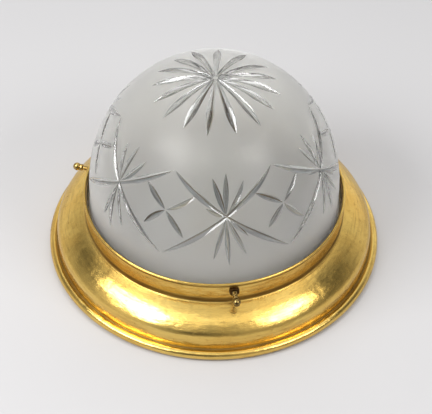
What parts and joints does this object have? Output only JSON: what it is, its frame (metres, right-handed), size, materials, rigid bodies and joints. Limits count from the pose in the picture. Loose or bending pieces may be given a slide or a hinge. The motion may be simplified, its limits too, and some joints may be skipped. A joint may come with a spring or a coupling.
{
  "type": "ceiling lamp",
  "caption": "Flush ceiling lamp: spun brass ring with a rolled rim and neck, thumb screws holding a frosted cut glass dome, and a strap with a screw-in bulb holder.",
  "frame": {"origin": "centre of the face that lies on the ceiling", "axes": "+Z from the ceiling face to the crown of the dome, so the lamp hangs with +Z down; -Y towards the first thumb screw; +X along the mounting strap towards the terminal block"},
  "size_m": [0.3, 0.3, 0.1949],
  "materials": {
    "aged_brass": "spun, polished and lightly aged",
    "dark_brass": "oxidised dark",
    "screw_brass": "turned and polished",
    "tip_fibre": "soft matt",
    "dome_glass": "etched matt outside, with polished cuts",
    "strap_steel": "zinc plated",
    "porcelain": "white glaze",
    "contact_brass": "stamped, bright",
    "screw_steel": "bright",
    "live_sleeve": "brown, satin",
    "neutral_sleeve": "blue, satin",
    "earth_sleeve": "green with a yellow stripe",
    "bulb_glass": "clear",
    "cap_metal": "rolled thread, satin",
    "black_glass": "gloss black",
    "solder": "cast, dull",
    "filament": "dark grey wire"
  },
  "bodies": {
    "lamp": {"base_ring": "aged_brass", "seat_ring": "aged_brass", "screw_bosses": "dark_brass", "glass_dome": "dome_glass", "mounting_strap": "strap_steel", "strap_rivets": "contact_brass", "holder_body": "porcelain", "holder_shell": "contact_brass", "centre_contact": "contact_brass", "terminal_bars": "contact_brass", "bar_screws": "contact_brass", "holder_screws": "screw_steel", "terminal_block": "porcelain", "terminal_sleeves": "contact_brass", "sleeve_screws": "screw_steel", "block_screws": "screw_steel", "live_lead": "live_sleeve", "neutral_lead": "neutral_sleeve", "earth_lead": "earth_sleeve", "earth_screw": "contact_brass", "earth_washer": "screw_steel"},
    "bulb_rise": {"bulb_contact": "solder"},
    "bulb": {"bulb_glass": "bulb_glass", "bulb_cap": "cap_metal", "bulb_insulator": "black_glass", "bulb_stem": "bulb_glass", "bulb_wires": "filament", "bulb_filament": "filament"},
    "tip_1": {"screw_tip_1": "tip_fibre"},
    "screw_1": {"thumb_screw_1": "screw_brass"},
    "tip_2": {"screw_tip_2": "tip_fibre"},
    "screw_2": {"thumb_screw_2": "screw_brass"},
    "tip_3": {"screw_tip_3": "tip_fibre"},
    "screw_3": {"thumb_screw_3": "screw_brass"}
  },
  "joints": [
    {"name": "bulb_feed", "type": "slide", "parent": "lamp", "child": "bulb_rise", "axis": [0, 0, 1], "range_m": [0, 0.01452]},
    {"name": "bulb_turn", "type": "hinge", "parent": "bulb_rise", "child": "bulb", "pos_m": [0, 0, 0.0206], "axis": [0, 0, 1], "range_deg": [0, 1440]},
    {"name": "screw_1_feed", "type": "slide", "parent": "lamp", "child": "tip_1", "axis": [0.1564, -0.9877, 0], "range_m": [0, 0.0035]},
    {"name": "screw_1_turn", "type": "hinge", "parent": "tip_1", "child": "screw_1", "pos_m": [0.01877, -0.11852, 0.05361], "axis": [0.1564, -0.9877, 0], "range_deg": [0, 1802]},
    {"name": "screw_2_feed", "type": "slide", "parent": "lamp", "child": "tip_2", "axis": [0.749, 0.6626, 0], "range_m": [0, 0.0035]},
    {"name": "screw_2_turn", "type": "hinge", "parent": "tip_2", "child": "screw_2", "pos_m": [0.08987, 0.07951, 0.05361], "axis": [0.749, 0.6626, 0], "range_deg": [0, 1802]},
    {"name": "screw_3_feed", "type": "slide", "parent": "lamp", "child": "tip_3", "axis": [-0.9613, 0.2756, 0], "range_m": [0, 0.0035]},
    {"name": "screw_3_turn", "type": "hinge", "parent": "tip_3", "child": "screw_3", "pos_m": [-0.11535, 0.03308, 0.05361], "axis": [-0.9613, 0.2756, 0], "range_deg": [0, 1802]}
  ],
  "couplings": [
    {"joint": "bulb_feed", "follows": "bulb_turn", "m_per_rad": 0.00057751},
    {"joint": "screw_1_turn", "follows": "screw_1_feed", "rad_per_m": 8976},
    {"joint": "screw_2_turn", "follows": "screw_2_feed", "rad_per_m": 8976},
    {"joint": "screw_3_turn", "follows": "screw_3_feed", "rad_per_m": 8976}
  ]
}
